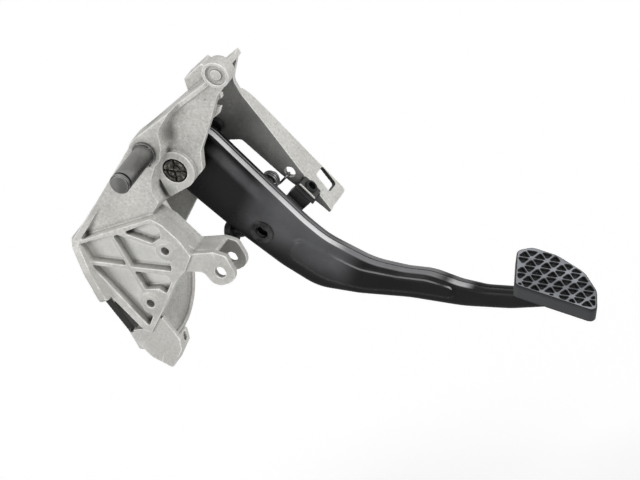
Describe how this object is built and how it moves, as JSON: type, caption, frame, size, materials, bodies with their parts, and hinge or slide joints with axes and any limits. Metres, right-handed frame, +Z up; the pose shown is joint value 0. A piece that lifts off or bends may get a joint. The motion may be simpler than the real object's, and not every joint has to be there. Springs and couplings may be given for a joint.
{
  "type": "brake pedal with support bracket",
  "caption": "Hanging brake pedal: hollow pressed arm with ribbed rubber foot pad on a cast alloy bulkhead bracket with clutch pin.",
  "frame": {"origin": "centre of the stud pattern on the bulkhead face, on the brake booster's axis", "axes": "+X from the bulkhead to the driver, +Y to the car's right, +Z up, as fitted in the car"},
  "size_m": [0.3675, 0.1625, 0.2896],
  "materials": {
    "cast_alloy": "raw die-cast, fine grain",
    "phosphated_steel": "dark phosphated, satin",
    "zinc_steel": "zinc plated, satin",
    "black_paint": "semi-gloss black paint",
    "black_plastic": "matt moulded",
    "bush_plastic": "natural nylon",
    "spring_steel": "oiled spring wire",
    "rubber": "moulded rubber, matt"
  },
  "bodies": {
    "bracket": {"bracket_casting": "cast_alloy", "clutch_pivot_pin": "phosphated_steel", "pivot_bolt": "phosphated_steel", "pivot_washer": "zinc_steel", "pivot_nut": "zinc_steel", "pivot_sleeve": "zinc_steel", "switch_clip": "black_plastic", "cheek_plug": "black_plastic"},
    "pedal": {"arm_left_shell": "black_paint", "arm_right_shell": "black_paint", "hub_tube": "black_paint", "hub_bush_left": "bush_plastic", "hub_bush_right": "bush_plastic", "pin_bush_left": "phosphated_steel", "pin_bush_right": "phosphated_steel", "pushrod_grommet": "rubber", "stop_tab": "black_paint", "switch_stop_block": "black_plastic", "spring_post": "black_paint", "return_spring": "spring_steel", "foot_plate": "black_paint", "rubber_pad": "rubber"}
  },
  "joints": [
    {"name": "pedal_pivot", "type": "hinge", "parent": "bracket", "child": "pedal", "pos_m": [0.105, -0.006, 0.063], "axis": [0, 1, 0], "range_deg": [0, 18], "stiffness_Nm_per_rad": 2, "springref_deg": -57.3, "deforming": ["return_spring"]}
  ]
}
